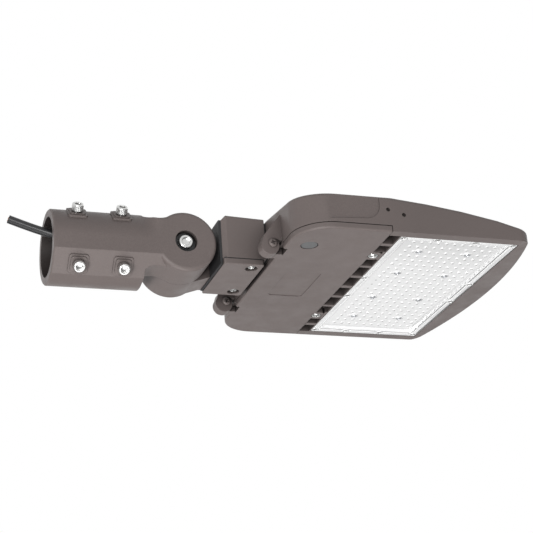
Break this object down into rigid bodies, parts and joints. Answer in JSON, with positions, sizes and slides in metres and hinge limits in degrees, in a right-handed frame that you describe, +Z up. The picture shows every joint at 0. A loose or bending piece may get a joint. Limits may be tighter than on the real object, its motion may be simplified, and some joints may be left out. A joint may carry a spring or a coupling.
{
  "type": "shoebox area light",
  "caption": "Flat rectangular outdoor LED area light with a hinged driver cover, vents and lens panel below, on a tilting knuckle and tubular slip fitter.",
  "frame": {"origin": "centre of the slip fitter's socket mouth, on the socket's axis", "axes": "+X along the socket's axis towards the head, +Z up, +Y to the head's left seen from the pole"},
  "size_m": [0.5309, 0.292, 0.078],
  "materials": {
    "bronze_paint": "textured bronze powder coat over die casting",
    "stainless": "bright stainless",
    "zinc_steel": "zinc plated",
    "black_rubber": "matt black",
    "cable_jacket": "smooth black",
    "lead_insulation": "smooth",
    "lens_clear": "clear moulded",
    "board_white": "white solder mask",
    "led_yellow": "phosphor",
    "driver_case": "satin",
    "black_plastic": "matt",
    "grey_plastic": "matt",
    "green_steel": "green zinc",
    "thermal_grey": "matt"
  },
  "bodies": {
    "fitter": {"clamp_body": "bronze_paint", "clamp_screws": "stainless", "pivot_bolt": "stainless", "pivot_washer": "black_plastic", "knuckle_o_ring": "black_rubber", "cable_grommet": "black_rubber", "supply_cable": "cable_jacket", "supply_leads": "lead_insulation"},
    "head": {"tilt_arm": "bronze_paint", "pivot_nut": "zinc_steel", "arm_gasket": "black_rubber", "arm_bolts": "zinc_steel", "neck_box": "bronze_paint", "neck_cover": "bronze_paint", "neck_cover_gasket": "black_rubber", "neck_cover_screws": "stainless", "neck_gasket": "black_rubber", "neck_bolts": "zinc_steel", "housing": "bronze_paint", "hinge_pins": "bronze_paint", "lens_panel": "lens_clear", "lens_gasket": "black_rubber", "lens_screws": "stainless", "field_screws": "stainless", "thermal_pad": "thermal_grey", "led_board": "board_white", "led_chips": "led_yellow", "driver": "driver_case", "driver_screws": "zinc_steel", "surge_protector": "black_plastic", "surge_screw": "zinc_steel", "terminal_block": "black_plastic", "terminal_screw": "zinc_steel", "ground_screw": "green_steel", "head_leads": "lead_insulation", "led_leads": "lead_insulation"},
    "driver_cover": {"driver_cover": "bronze_paint", "cover_gasket": "black_rubber", "cover_screws": "stainless", "sensor_plug": "grey_plastic", "plug_nut": "grey_plastic"}
  },
  "joints": [
    {"name": "head_tilt", "type": "hinge", "parent": "fitter", "child": "head", "pos_m": [0.136, 0, 0], "axis": [0, 1, 0], "range_deg": [-90, 90]},
    {"name": "cover_hinge", "type": "hinge", "parent": "head", "child": "driver_cover", "pos_m": [0.2115, 0, -0.0175], "axis": [0, 1, 0], "range_deg": [0, 90]}
  ]
}
